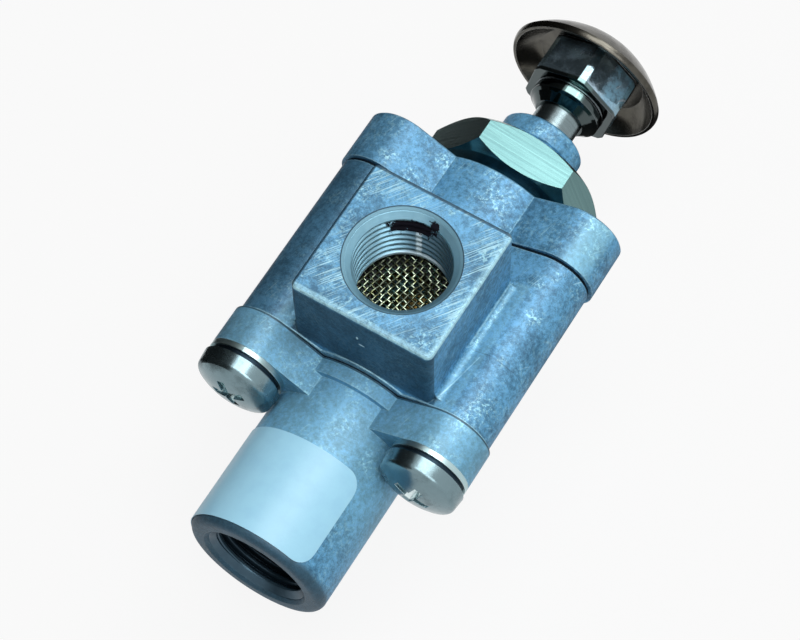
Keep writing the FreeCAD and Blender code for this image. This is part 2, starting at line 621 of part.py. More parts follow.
def make_spool():
    """Spool with three lands and a bore that leads the spent air to the exhaust."""
    spool = turned([(0, SPOOL_Y), (SPOOL_R, SPOOL_Y), (SPOOL_R, NECK1_Y), (NECK1_R, NECK1_Y),
                    (NECK1_R, LAND2_Y), (SPOOL_R, LAND2_Y), (SPOOL_R, NECK2_Y),
                    (NECK2_R, NECK2_Y), (NECK2_R, LAND3_Y), (SPOOL_R, LAND3_Y),
                    (SPOOL_R, SPOOL_TOP_Y), (0, SPOOL_TOP_Y)])
    for y in ring_middles():
        spool = ring_groove(spool, SPOOL_R, SPOOL_RING_DEPTH, SPOOL_RING_W, y)
    neck2_middle = NECK2_Y + NECK2_W / 2
    spool = spool.cut(rod(SPOOL_BORE_R, SPOOL_Y, neck2_middle))
    cross_y = neck2_middle - SPOOL_CROSS_R
    for direction in (AXIS_X, AXIS_Z):
        start = V(0, cross_y, 0) - direction * (NECK2_R + 1)
        spool = spool.cut(Part.makeCylinder(SPOOL_CROSS_R, 2 * NECK2_R + 2, start, direction))
    socket = rod(STEM_TAIL_R + RUNNING_GAP, SPOOL_TOP_Y - STEM_TAIL_L - STEM_TAIL_GAP, SPOOL_TOP_Y)
    spool = spool.cut(socket)
    clip_y = SPOOL_TOP_Y - CLIP_SETBACK
    half = CLIP_SECTION_R + RUNNING_GAP
    groove = rod(STEM_TAIL_R + CLIP_SECTION_R + RUNNING_GAP, clip_y - half, clip_y + half)
    return spool.cut(groove)


def liner_ring_middles():
    """Heights of the liner's seal rings: at both ends and between the two ports."""
    between = (BOSS_Y + EXHAUST_Y) / 2
    return [BODY_END_Y + LINER_RING_MARGIN, between, BODY_TOP_Y - LINER_RING_MARGIN]


def make_bore_liner():
    """Brass liner in the body, with a grooved ring of holes at each port."""
    liner = ring(LINER_R, LINER_BORE_R, BODY_END_Y, BODY_TOP_Y)
    for y, hole_r, width in ((BOSS_Y, SUPPLY_HOLE_R, LINER_GROOVE_W),
                             (EXHAUST_Y, EXHAUST_HOLE_R, LINER_GROOVE_W / 2)):
        liner = ring_groove(liner, LINER_R, LINER_GROOVE_DEPTH, width, y)
        for index in range(PORT_HOLES):
            x, z = lobe_spot(360 / PORT_HOLES * index, 1)
            liner = liner.cut(Part.makeCylinder(hole_r, LINER_R + 1, V(0, y, 0), V(x, 0, z)))
    for y in liner_ring_middles():
        liner = ring_groove(liner, LINER_R, LINER_RING_DEPTH, LINER_RING_W, y)
    return liner


def make_return_spring():
    """Coil spring between the seat in the cap and the spool, drawn as quarter turns of a helix."""
    low = SPRING_SEAT_Y + SPRING_WIRE_R + RUNNING_GAP
    high = SPOOL_Y - SPRING_WIRE_R - RUNNING_GAP
    rise = (high - low) / SPRING_TURNS / 8
    coil = []
    for quarter in range(4 * SPRING_TURNS):
        spots = []
        for eighth in range(2 * quarter, 2 * quarter + 3):
            turn = math.radians(45 * eighth)
            spots.append(V(SPRING_R * math.cos(turn), low + rise * eighth, SPRING_R * math.sin(turn)))
        coil.append(Part.Arc(*spots).toShape())
    wire_end = Part.makeCircle(SPRING_WIRE_R, coil[0].valueAt(0), coil[0].tangentAt(0))
    return Part.Wire(coil).makePipe(Part.Face(Part.Wire(wire_end)))


def make_inlet_screen():
    """Wire mesh disc on the ledge at the bottom of the supply port."""
    radius = SCREEN_SEAT_R - SCREEN_GAP
    return Part.makeCylinder(radius, SCREEN_T, V(0, BOSS_Y, SCREEN_SEAT_Z), AXIS_Z)


def label_corner(turn, side, y, up):
    """Cutter that rounds one corner of the label, made flat and set across the tube's wall."""
    reach = LABEL_CORNER_R + 1
    block = Part.makeBox(reach, reach, TUBE_R)
    block = block.cut(Part.makeCylinder(LABEL_CORNER_R, TUBE_R))
    if side * up < 0:
        block.rotate(ORIGIN, AXIS_Z, 90)
    if up < 0:
        block.rotate(ORIGIN, AXIS_Z, 180)
    block.translate(V(0, 0, TUBE_R / 2))
    block.rotate(ORIGIN, AXIS_Y, 90 - turn)
    block.translate(V(0, y, 0))
    return block


def make_port_label():
    """Blank label wrapped round the tube, with rounded corners."""
    inner = TUBE_R + LABEL_GAP
    low = TUBE_END_Y + LABEL_FROM_END
    high = low + LABEL_W
    outline = Part.makePolygon([V(inner, low, 0), V(inner + LABEL_T, low, 0),
                                V(inner + LABEL_T, high, 0), V(inner, high, 0), V(inner, low, 0)])
    label = Part.Face(outline).revolve(ORIGIN, V(0, -1, 0), LABEL_SPAN_ANGLE)
    label.rotate(ORIGIN, V(0, -1, 0), LABEL_START_ANGLE)
    corner_turn = math.degrees(math.asin(LABEL_CORNER_R / inner))
    first = LABEL_START_ANGLE + corner_turn
    last = LABEL_START_ANGLE + LABEL_SPAN_ANGLE - corner_turn
    for turn, side in ((first, 1), (last, -1)):
        label = label.cut(label_corner(turn, side, low + LABEL_CORNER_R, -1))
        label = label.cut(label_corner(turn, side, high - LABEL_CORNER_R, 1))
    return label


SUBPARTS = {
    "valve_body": make_valve_body(),
    "cover": make_cover(),
    "end_cap": make_end_cap(),
    "cover_gasket": make_gasket(BODY_TOP_Y, COVER_Y, CORE_R),
    "cap_gasket": make_gasket(CAP_Y, BODY_END_Y, CAP_CORE_R),
    "cap_screws": make_cap_screws(),
    "flat_washers": make_flat_washers(),
    "lock_washers": make_lock_washers(),
    "panel_nut": make_panel_nut(),
    "inlet_screen": make_inlet_screen(),
    "port_label": make_port_label(),
    "guide_bush": ring(GUIDE_BUSH_R, STEM_BORE_R, GUIDE_BUSH_END_Y, GUIDE_BUSH_TOP_Y),
    "dust_wiper": ring(WIPER_POCKET_R - RUNNING_GAP, STEM_BORE_R, WIPER_Y, WIPER_Y + WIPER_T),
    "stem_seal": ring(SEAL_POCKET_R - PRESS_GAP, STEM_BORE_R, SEAL_Y, SEAL_Y + SEAL_SECTION),
    "seal_retainer": make_seal_retainer(),
    "bumper_washer": ring(BUMPER_R, BUMPER_BORE_R, SPOOL_TOP_Y + RUNNING_GAP, SPIGOT_Y),
    "bore_liner": make_bore_liner(),
    "liner_rings": groove_rings(LINER_R, BODY_BORE_R, LINER_RING_DEPTH, LINER_RING_W,
                                liner_ring_middles()),
    "spool": make_spool(),
    "spool_rings": groove_rings(SPOOL_R, LINER_BORE_R, SPOOL_RING_DEPTH, SPOOL_RING_W,
                                ring_middles()),
    "stem_clip": make_stem_clip(),
    "spring_seat": ring(SPRING_SEAT_R, SPRING_SEAT_BORE_R, CHAMBER_FLOOR_Y, SPRING_SEAT_Y),
    "return_spring": make_return_spring(),
    "plunger_stem": make_plunger_stem(),
    "knob": make_knob(),
}

os.makedirs("parts", exist_ok=True)
for name, shape in SUBPARTS.items():
    shape.exportStep(f"parts/{name}.step")
    print(name, "valid" if shape.isValid() else "NOT VALID", len(shape.Solids), round(shape.Volume, 1))
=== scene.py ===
# %% [markdown]
# # Dressing an air brake control valve
# This lesson takes a valve whose solids are already made and placed, and gives it the look of the
# real thing: tumbled castings, cut threads, a brushed nut, plated screws, a polished knob, a woven
# wire screen and a blank label. The solids come in from model.glb. They are never moved or reshaped
# here, so every piece that is added has to fit them. Lengths on this valve are easiest to read in
# millimetres and the scene is in metres, so one factor turns the first into the second.

# %% Load the solids
import json
import math

import bmesh
import bpy
from mathutils import Matrix, Vector, noise


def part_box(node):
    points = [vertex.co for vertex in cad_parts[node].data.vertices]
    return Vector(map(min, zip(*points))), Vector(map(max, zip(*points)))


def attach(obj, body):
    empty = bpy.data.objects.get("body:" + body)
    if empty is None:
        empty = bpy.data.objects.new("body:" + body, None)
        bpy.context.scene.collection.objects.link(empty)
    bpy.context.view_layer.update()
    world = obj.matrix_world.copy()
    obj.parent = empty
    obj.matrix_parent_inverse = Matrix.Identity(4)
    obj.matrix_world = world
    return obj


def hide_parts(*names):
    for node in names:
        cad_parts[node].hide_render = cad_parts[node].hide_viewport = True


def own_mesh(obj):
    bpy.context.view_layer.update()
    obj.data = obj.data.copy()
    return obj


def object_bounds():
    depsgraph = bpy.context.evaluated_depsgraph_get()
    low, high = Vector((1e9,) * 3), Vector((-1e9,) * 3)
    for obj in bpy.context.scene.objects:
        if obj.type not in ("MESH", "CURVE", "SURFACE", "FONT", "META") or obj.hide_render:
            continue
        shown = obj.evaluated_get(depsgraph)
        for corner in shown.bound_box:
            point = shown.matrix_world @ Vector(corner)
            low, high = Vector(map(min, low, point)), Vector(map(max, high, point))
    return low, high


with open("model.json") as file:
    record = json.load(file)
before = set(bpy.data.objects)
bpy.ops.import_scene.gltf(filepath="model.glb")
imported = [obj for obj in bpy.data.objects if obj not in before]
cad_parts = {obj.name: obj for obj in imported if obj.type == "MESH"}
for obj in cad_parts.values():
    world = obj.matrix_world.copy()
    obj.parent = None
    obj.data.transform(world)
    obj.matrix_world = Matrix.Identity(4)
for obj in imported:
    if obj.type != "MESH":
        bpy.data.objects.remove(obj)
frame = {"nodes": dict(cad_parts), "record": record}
solid_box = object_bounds()
nodes = frame["nodes"]
MM = 0.001
X, Y, Z = Vector((1, 0, 0)), Vector((0, 1, 0)), Vector((0, 0, 1))
print(len(nodes), "solids, from", [round(v / MM, 1) for v in solid_box[0]],
      "to", [round(v / MM, 1) for v in solid_box[1]])

# %% [markdown]
# ## Camera
# The valve lies on its lowest lobe and is seen from above its port end, so that the plunger runs up
# to the right. A camera could be aimed with a constraint, but then the small roll of a hand-held shot
# would be lost. So the three axes of the camera are worked out from a turn, a height and a roll. The
# long lens and the small shift put the valve where it lies in the picture.

# %% Camera
turn, height, roll = (math.radians(angle) for angle in (33.4005, 63.0807, -2.1528))
aim = Vector((-0.91, -28.06, 11.89)) * MM
away = 405.03 * MM
back = Vector((math.sin(turn) * math.cos(height), -math.cos(turn) * math.cos(height), math.sin(height)))
level = Vector((math.cos(turn), math.sin(turn), 0))
rise = back.cross(level)
right = math.cos(roll) * level + math.sin(roll) * rise
up = -math.sin(roll) * level + math.cos(roll) * rise

camera = bpy.data.objects.new("camera", bpy.data.cameras.new("camera"))
bpy.context.scene.collection.objects.link(camera)
placing = Matrix((right, up, back)).transposed().to_4x4()
placing.translation = aim + back * away
camera.matrix_world = placing
camera.data.sensor_width = 36
camera.data.lens = 121.16
camera.data.shift_x = 0.0055
camera.data.shift_y = -0.0091
camera.data.clip_start = 0.01
bpy.context.scene.camera = camera
print("camera", [round(v, 4) for v in camera.location], "lens", camera.data.lens)

# %% [markdown]
# ## A short way to write shader maths
# A finish is a tree of nodes. Linking them one by one is long to write and hard to read, so two small
# classes do it. A Wire is one output of a node: plus, minus, times and the rest add the Math node
# that they stand for. A Finish is one material, with a method that adds any node from its type, its
# settings and what goes into its sockets.

# %% Wires
class Wire:
    """One output of a node. Arithmetic on it adds Math nodes."""

    def __init__(self, finish, socket):
        self.finish = finish
        self.socket = socket

    def maths(self, operation, *values):
        return self.finish.add("ShaderNodeMath", {"operation": operation}, dict(enumerate(values)))

    def __add__(self, other):
        return self.maths("ADD", self, other)

    def __sub__(self, other):
        return self.maths("SUBTRACT", self, other)

    def __rsub__(self, other):
        return self.maths("SUBTRACT", other, self)

    def __mul__(self, other):
        return self.maths("MULTIPLY", self, other)

    def __truediv__(self, other):
        return self.maths("DIVIDE", self, other)

    def __abs__(self):
        return self.maths("ABSOLUTE", self)

    __radd__ = __add__
    __rmul__ = __mul__

    def at_most(self, other):
        return self.maths("MINIMUM", self, other)

    def at_least(self, other):
        return self.maths("MAXIMUM", self, other)

    def between(self, low, high):
        """0 up to low and 1 from high on, with a soft step from one to the other."""
        return self.finish.add("ShaderNodeMapRange", {"interpolation_type": "SMOOTHSTEP"},
                               {0: self, 1: low, 2: high})


print("a Wire knows", [name for name in vars(Wire) if not name.startswith("_")])

# %% Finishes
class Finish:
    """One material, built up from nodes around its main shader."""

    def __init__(self, name, **constants):
        self.material = bpy.data.materials.new(name)
        self.material.use_nodes = True
        self.tree = self.material.node_tree
        self.shader = self.tree.nodes["Principled BSDF"]
        self.set(self.shader, constants)

    def set(self, node, values):
        for name, value in values.items():
            socket = node.inputs[name if isinstance(name, int) else name.replace("_", " ")]
            if isinstance(value, Wire):
                self.tree.links.new(value.socket, socket)
            else:
                socket.default_value = value

    def add(self, kind, settings=None, sockets=None, out=0):
        node = self.tree.nodes.new(kind)
        for name, value in (settings or {}).items():
            setattr(node, name, value)
        self.set(node, sockets or {})
        return Wire(self, node.outputs[out])

    def look(self, colour, rough, normal):
        self.set(self.shader, {"Base Color": colour, "Roughness": rough, "Normal": normal})

    def wear(self, *node_names):
        for name in node_names:
            nodes[name].data.materials.clear()
            nodes[name].data.materials.append(self.material)
        print(self.material.name, "on", ", ".join(node_names), "with", len(self.tree.nodes), "shader nodes")


print("a Finish knows", [name for name in vars(Finish) if not name.startswith("_")])

# %% [markdown]
# ## Places
# Most of what tells these finishes apart lies at a place: the top of a boss, a lip, the root of a
# thread. The place on the part stays fixed to the piece when the plunger moves. How far it lies along
# a direction, or from a spot, is measured in millimetres, and a band of such a measure is a mask.

# %% Helpers for places
def where(finish):
    """Place on the part, in metres, fixed to the piece."""
    return finish.add("ShaderNodeTexCoord", out=3)


def vector(finish, operation, first, second=(0, 0, 0), out=0):
    return finish.add("ShaderNodeVectorMath", {"operation": operation}, {0: first, 1: second}, out)


def along(finish, place, direction):
    """How far the place lies along a direction, or how well a normal agrees with it."""
    return vector(finish, "DOT_PRODUCT", place, direction, out=1)


def distance(finish, place, spot=(0, 0, 0), stretch=(1, 1, 1)):
    """Millimetres from a spot to the place, with each axis stretched, or left out where it is 0."""
    gap = vector(finish, "SUBTRACT", place, spot)
    return vector(finish, "LENGTH", vector(finish, "MULTIPLY", gap, Vector(stretch) / MM), out=1)


def band(value, low, high, soft):
    """1 between low and high and 0 outside them, with a soft step just inside each."""
    return value.between(low, low + soft) * (1 - value.between(high - soft, high))


def strongest(first, *others):
    """The largest of several shares."""
    for other in others:
        first = first.at_least(other)
    return first


print("places are measured in millimetres, so", 1 / MM, "to the metre")

# %% [markdown]
# ## Grain, edges and colours
# Every finish also needs noise at some grain size, and noise drawn out into lines for metal that was
# brushed, turned or scratched. It needs to know where the edges are, because tumbling and handling
# brighten them, and a painted highlight brightens them further. A Bevel node gives the direction that
# a rounded edge would have there. Set against the flat one, it tells how near the edge is. Colours are
# laid over each other one layer at a time, each with the share that it covers, which keeps a long list
# of marks easy to read.

# %% Helpers for grain and colours
def grain(finish, place, size, detail=3, roughness=0.5):
    """Noise whose lumps are about size millimetres apart."""
    return finish.add("ShaderNodeTexNoise", None, {
        "Vector": place, "Scale": 1 / (size * MM), "Detail": detail, "Roughness": roughness})


def drawn_lines(finish, place, direction, across, gap, length, detail=1):
    """Noise drawn out along a direction, as lines a gap apart and a length long, in millimetres."""
    lengthways = along(finish, place, direction) * (1 / (length * MM))
    crossways = along(finish, place, across) * (1 / (gap * MM))
    spot = finish.add("ShaderNodeCombineXYZ", None, {0: lengthways, 1: crossways})
    return finish.add("ShaderNodeTexNoise", None, {"Vector": spot, "Scale": 1.0, "Detail": detail})


def opaque(colour):
    """A colour with its opacity, or the wire that carries one."""
    return colour if isinstance(colour, Wire) else (*colour, 1)


def painted(finish, colour, *layers):
    """A colour with layers over it, each a colour and the share of the surface that it covers."""
    for layer, share in layers:
        colour = finish.add("ShaderNodeMix", {"data_type": "RGBA"},
                            {6: opaque(colour), 7: opaque(layer), 0: share}, out=2)
    return colour


def scaled(colour, factor):
    return tuple(min(1, factor * part) for part in colour)


print("grain of 0.4 mm is a noise scale of", round(1 / (0.4 * MM)))

# %% Helpers for edges and bumps
def rounded(finish, radius):
    """Direction of the surface, as if its edges were rounded to a radius."""
    return finish.add("ShaderNodeBevel", {"samples": 6}, {"Radius": radius * MM})


def edge_share(finish, soft_normal, strength):
    """1 on an edge or in a crease, and 0 on a face."""
    flat_normal = finish.add("ShaderNodeNewGeometry", out=1)
    agree = vector(finish, "DOT_PRODUCT", soft_normal, flat_normal, out=1)
    return ((1 - agree) * strength).at_most(1.0)


def bump(finish, relief, depth, normal=None):
    sockets = {"Height": relief, "Distance": depth * MM, "Strength": 1.0}
    if normal:
        sockets["Normal"] = normal
    return finish.add("ShaderNodeBump", None, sockets)


print("edges and bumps ready")

# %% [markdown]
# ## Tumbled castings
# The three castings come out of the mould, are tumbled with stones and are left bare. That leaves a
# cool blue-grey metal with cloudy patches, clusters of small bright flecks where the stones have
# rubbed, hairline cracks in the skin between them, and bright edges. Where a face turns up and to the
# right, the flecks are brighter still, as a painted highlight. One noise makes the clouds, a second
# gathers the flecks of a third into clusters, and the cracks are where a fourth crosses its middle
# value. The sizes below say where on the castings the marks lie. Each pair gives the two ends of a
# mark, or the two places between which it fades in or out.

# %% Sizes of the castings, in millimetres
BOSS_HALF_W = 11.9
BOSS_SETBACK = 0.25
GASKET_T = 0.5
MOULD_LINE_Y = -28.45
FOOT_LEAN = 0.23
FOOT_Z, WALL_Z, MOUTH_Z = (9, 16), (13, 14), (12, 13)
LOBE_X, FLANK_X = (6, 12), (-17.5, -12.5)
body_low, body_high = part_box("valve_body")
cap_low, cap_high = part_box("end_cap")
body_end, body_start, boss_top = body_low.y / MM, body_high.y / MM, body_high.z / MM
boss_front = body_end + BOSS_SETBACK
boss_back = boss_front + 2 * BOSS_HALF_W
foot_front, foot_back = boss_front + 0.4, boss_back - 0.2
tube_tip, cap_top, cover_face = cap_low.y / MM, cap_high.y / MM, body_start + GASKET_T
supply_mouth = Vector((0, boss_front + BOSS_HALF_W, boss_top)) * MM
delivery_mouth = Vector((0, tube_tip, 0)) * MM
print("boss top at", round(boss_top, 2), "mm, its port at y", round(supply_mouth.y / MM, 2), "mm")

# %% Casting: skin
CAST_DARK, CAST_LIGHT = (0.05, 0.16, 0.27), (0.16, 0.455, 0.74)
FLECK, CRACK = (0.5, 0.9, 1.0), (0.03, 0.09, 0.15)
casting = Finish("casting", Metallic=0.22, Specular_IOR_Level=0.15, Coat_Roughness=0.4)
place = where(casting)
facing = casting.add("ShaderNodeNewGeometry", out=1)
clouds = grain(casting, place, 7, detail=3, roughness=0.6)
mottle = grain(casting, place, 0.9, detail=5, roughness=0.85)
clusters = grain(casting, place, 4, detail=3, roughness=0.6).between(0.44, 0.66)
flecks = grain(casting, place, 0.55, detail=4, roughness=0.75).between(0.5, 0.6)
# Flecks on faces turned up and to the right are brighter: a painted highlight over the wear.
crest = along(casting, facing, (0.35, 0, 0.94)).between(0.86, 1.0)
flecks_and_highlight = flecks * (0.05 + 0.5 * clusters * (0.5 + crest))
crack_noise = grain(casting, place, 1.6, detail=4, roughness=0.6) - 0.5
cracks = (1 - abs(crack_noise).between(0.003, 0.016)) * (1 - clusters)
shade = (0.35 * clouds + 0.65 * mottle).between(0.38, 0.62)
skin = painted(casting, CAST_DARK, (CAST_LIGHT, shade), (FLECK, flecks_and_highlight), (CRACK, 0.4 * cracks))
print("skin takes", len(casting.tree.nodes), "shader nodes so far")

# %% [markdown]
# The top of the supply boss is different: it was sanded flat by hand, and it keeps long slanting
# strokes. Lines drawn at a slant are kept to the height of the boss top, and a slow noise lets them
# come and go. A few scuffs run over the rest.

# %% Casting: strokes and scuffs
SANDING_SLANT = math.radians(55)
axial, upward, rightward = (along(casting, place, axis / MM) for axis in (Y, Z, X))
sideways = abs(rightward)
stroke = (math.cos(SANDING_SLANT), math.sin(SANDING_SLANT), 0)
across = (-math.sin(SANDING_SLANT), math.cos(SANDING_SLANT), 0)
sanded = upward.between(boss_top - 0.06, boss_top - 0.02)
patches = grain(casting, place, 5, detail=2).between(0.38, 0.58)
strokes = drawn_lines(casting, place, stroke, across, 0.26, 7, detail=2).between(0.52, 0.62)
strokes = strokes * sanded * patches
scuffs = drawn_lines(casting, place, (0.3, 0.9, 0.3), (0.9, -0.3, 0.3), 0.25, 7).between(0.64, 0.72)
scuffs = scuffs * clusters
print("boss top sanded above", round(boss_top - 0.06, 2), "mm")

# %% [markdown]
# Hands and stones brighten every edge, and a painted highlight makes it brighter still. Painted
# highlights also lie on the rim of the boss on the sides that face the right and the port end, on the
# lip at the body's end, and on the line where the boss meets the body. That line runs straight from
# the cover and then leans inwards past the mould line. Painted light makes the cap and the hollow
# beside the boss a little paler, and a painted highlight lies on the crest of the cover's right lobe.

# %% Casting: bright and pale parts
# Edges are lighter, partly as wear and partly as a painted highlight.
soft_normal = rounded(casting, 0.3)
edges = edge_share(casting, soft_normal, 5)
# The rim on the near sides, the body's lip and the foot line are painted highlights.
boss_bevel = band(upward, boss_top - 0.6, boss_top - 0.02, 0.06)
near_side = rightward.between(BOSS_HALF_W - 1.1, BOSS_HALF_W - 0.6)
near_side = near_side.at_least(1 - axial.between(boss_front + 0.7, boss_front + 1.1))
rim = (boss_bevel + 0.45 * sanded).at_most(1.0) * near_side
body_lip = band(axial, body_end - 0.02, body_end + 0.17, 0.04)
by_foot = band(upward, *FOOT_Z, 0.6)
leaning = sideways - FOOT_LEAN * (axial - foot_front)
straight_foot = band(sideways, BOSS_HALF_W + 0.1, BOSS_HALF_W + 0.4, 0.1)
straight_foot = straight_foot * band(axial, MOULD_LINE_Y + 0.05, foot_back, 0.3)
leaning_foot = band(leaning, BOSS_HALF_W + 0.2, BOSS_HALF_W + 0.5, 0.1)
leaning_foot = leaning_foot * band(axial, foot_front, MOULD_LINE_Y - 0.55, 0.3)
foot_line = straight_foot.at_least(leaning_foot) * by_foot
wear_and_highlight = strongest(0.8 * edges, rim, 0.8 * body_lip, 0.7 * foot_line)
wear_and_highlight = wear_and_highlight * (0.45 + 0.55 * mottle.between(0.35, 0.6))

# Painted light on the cap and in the hollow beside the boss, and a painted highlight on the crest of the
# cover's right lobe.
cap_painted_light = axial.between(tube_tip + 2, tube_tip + 18)
cap_painted_light = cap_painted_light * (1 - axial.between(body_end - 0.5, body_end - 0.3))
hollow_painted_light = band(sideways, BOSS_HALF_W + 0.1, BOSS_HALF_W + 3.6, 0.8) * by_foot
hollow_painted_light = hollow_painted_light * (1 - axial.between(foot_back, boss_back + 0.3))
lobe_highlight = along(casting, facing, (0.5, 0, 0.866)).between(0.86, 1.0) * (0.4 + 0.6 * mottle)
lobe_highlight = lobe_highlight * axial.between(cover_face - 0.2, cover_face - 0.1) * rightward.between(*LOBE_X)
print("the foot line runs from y", round(foot_back, 1), "to", round(foot_front, 1), "mm")

# %% [markdown]
# Painted shade darkens the rest: a painted shadow in the seam beside the cap's gasket, and painted
# shade on the wall just behind the body's lip, the boss's far edges, the flank on the left and the
# turned end of the tube. A wavy mould line is darker too.

# %% Casting: dark parts
# Painted shade on the wall just behind the body's lip.
wall_shade = band(axial, body_end + 0.18, body_end + 1.4, 0.05) * upward.between(*WALL_Z)
wall_shade = wall_shade * (1 - upward.between(boss_top - 1.2, boss_top - 0.5))
wall_shade = wall_shade * (1 - sideways.between(BOSS_HALF_W + 0.3, BOSS_HALF_W + 0.7))
# Painted shade on the boss's far edges.
border = axial.between(boss_back - 0.75, boss_back - 0.55)
border = border.at_least(1 - rightward.between(0.4 - BOSS_HALF_W, 0.6 - BOSS_HALF_W))
border = border * upward.between(boss_top - 0.5, boss_top - 0.3)
far_edge_shade = strongest(boss_bevel * (1 - near_side), 0.9 * border)
wavy = axial + 0.6 * (grain(casting, place, 3, detail=2) - 0.5)
mould_line = band(wavy, MOULD_LINE_Y - 0.15, MOULD_LINE_Y + 0.15, 0.1)
mould_line = mould_line * sideways.between(BOSS_HALF_W + 0.4, BOSS_HALF_W + 0.7)
# Painted shadow in the gap beside the cap's gasket; the mould line is a dark line of its own.
cap_gap_shadow = band(axial, cap_top - 0.3, cap_top + 0.02, 0.06)
gap_shadow_and_mould_line = strongest(cap_gap_shadow, 0.35 * mould_line)
on_body = band(axial, body_end, body_start, 0.3)
# Painted shade on the left flank.
left_flank_shade = (1 - rightward.between(*FLANK_X)) * (0.45 + 0.55 * on_body)
dark = strongest(0.72 * wall_shade, 0.8 * gap_shadow_and_mould_line, 0.85 * far_edge_shade, 0.55 * left_flank_shade)
# Painted shade on the turned end of the tube.
end_face = 1 - axial.between(tube_tip + 1.0, tube_tip + 2.4)
print("the cap's seam is at y", round(cap_top, 2), "mm and the mould line at", MOULD_LINE_Y, "mm")

# %% [markdown]
# The mouth of the supply port is cut, so it has the colour of cut alloy, a dark line round it and
# painted shade on the side nearest the camera. Behind the thread ring the port floor is painted near
# black as shade. Two small marks on the front of the boss together make a nick. Last, faces that look
# up get a thin coat, which stands for metal burnished by handling.

# %% Casting: port mouth and nick
MOUTH_R, BEHIND_THREAD_R = 9.0, 8.1
NEAREST = Vector((0.75, -0.66, 0))
NICK_MARKS = ((-0.5, 22.8, (1.4, 0, 0.7)), (0.2, 21.1, (0.5, 0, 1.4)))
from_port = vector(casting, "SUBTRACT", place, supply_mouth)
port_reach = distance(casting, from_port, stretch=(1, 1, 0))
mouth = (1 - port_reach.between(MOUTH_R - 0.02, MOUTH_R + 0.02)) * (1 - sanded)
mouth = mouth * upward.between(*MOUTH_Z)
mouth_line = band(port_reach, MOUTH_R - 0.16, MOUTH_R + 0.08, 0.06)
mouth_line = mouth_line * upward.between(boss_top - 1.5, boss_top - 1.4)
# The port floor behind the thread ring is painted near black as shade.
port_floor_shade = mouth * (1 - port_reach.between(BEHIND_THREAD_R, BEHIND_THREAD_R + 0.1))
# Painted shade on the side of the mouth nearest the camera.
near_wall = (along(casting, from_port, NEAREST / MM) / port_reach).between(0.0, 0.9)
marks = [distance(casting, place, Vector((x, boss_front, z)) * MM, stretch) + 0.2 * mottle
         for x, z, stretch in NICK_MARKS]
nick = strongest(*(1 - mark.between(0.3, 0.42) for mark in marks))
nick = nick * along(casting, facing, -Y).between(0.9, 1.0)
print("port mouth", 2 * MOUTH_R, "mm across, nick of", len(marks), "marks")

# %% Casting: layers
colour = painted(
    casting, skin,
    ((0.46, 0.78, 0.9), strongest(0.75 * strokes, 0.6 * scuffs)),
    ((0.4, 0.82, 1.0), strongest(0.25 * cap_painted_light, 0.25 * hollow_painted_light, 0.6 * lobe_highlight)),
    ((0.5, 0.85, 0.96), wear_and_highlight),
    ((0.012, 0.04, 0.065), dark),
    ((0.035, 0.075, 0.105), 0.85 * end_face),
    ((0.26, 0.5, 0.63), mouth),
    ((0.01, 0.04, 0.07), 0.9 * mouth_line),
    ((0.004, 0.006, 0.008), port_floor_shade),
    ((0.08, 0.2, 0.28), 0.45 * mouth * near_wall),
    ((0.7, 0.9, 0.95), nick))
relief = grain(casting, place, 0.2, detail=2) + 2 * clouds + mottle + strokes
casting.look(colour, 0.46 - 0.1 * flecks_and_highlight - 0.12 * wear_and_highlight - 0.1 * strokes,
             bump(casting, relief, 0.045, soft_normal))
looking_up = along(casting, facing, Z).between(0.6, 0.85)
casting.set(casting.shader, {"Coat Weight": looking_up * (0.35 + 0.45 * mottle)})
casting.wear("valve_body", "cover", "end_cap")

# %% [markdown]
# ## Cut threads
# Both ports have a tapered pipe thread, and the neck has a straight one for the panel nut. The solids
# leave the threads out, so they are made here as real ridges. A screw modifier could sweep a profile
# round, but its ends are hard to close. Instead a ring of points is laid down row by row, and the
# radius of each point says where on the helix it is. The mouth of each port is a cone, so the ring
# starts on the cone and the thread fades in behind it.

# %% A mesh from points and faces
def mesh_piece(name, points, faces):
    mesh = bpy.data.meshes.new(name)
    mesh.from_pydata(points, [], faces)
    shape = bmesh.new()
    shape.from_mesh(mesh)
    bmesh.ops.recalc_face_normals(shape, faces=shape.faces)
    shape.to_mesh(mesh)
    shape.free()
    mesh.shade_smooth()
    piece = bpy.data.objects.new(name, mesh)
    bpy.context.scene.collection.objects.link(piece)
    return piece


def dress(piece, finish, body):
    """Give a new piece its finish and the body that carries it."""
    piece.data.materials.append(finish.material)
    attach(piece, body)
    print(piece.name, "has", len(piece.data.polygons), "faces and rides on", body)


print("mesh helpers ready")

# %% Threaded rings
PITCH = 1.411
AROUND = 96
ROWS_PER_MM = 12


def threaded_ring(name, start, direction, length, radius_at, wall_r):
    """Ring whose one face follows radius_at(depth, share of a turn), and the other is plain."""
    side = direction.orthogonal().normalized()
    other = direction.cross(side)
    rows = round(length * ROWS_PER_MM) + 1
    profile = [(length * row / (rows - 1), None) for row in range(rows)]
    profile += [(length, wall_r), (0, wall_r)]
    points = []
    for depth, fixed_r in profile:
        for step in range(AROUND):
            share = step / AROUND
            radius = radius_at(depth, share) if fixed_r is None else fixed_r
            spoke = side * math.cos(2 * math.pi * share) + other * math.sin(2 * math.pi * share)
            points.append(start + (direction * depth + spoke * radius) * MM)
    faces = []
    for row in range(len(profile)):
        below = (row + 1) % len(profile)
        for step in range(AROUND):
            after = (step + 1) % AROUND
            faces.append((row * AROUND + step, row * AROUND + after,
                          below * AROUND + after, below * AROUND + step))
    return mesh_piece(name, points, faces)


def ridge(depth, share, crest):
    """0 in the root of the thread and 1 on its flat crest, along a helix."""
    phase = (depth / PITCH - share) % 1
    climb = (1 - abs(2 * phase - 1)) / (1 - crest)
    return min(1, climb)


print("a thread", PITCH, "mm from crest to crest, with", AROUND, "points round")

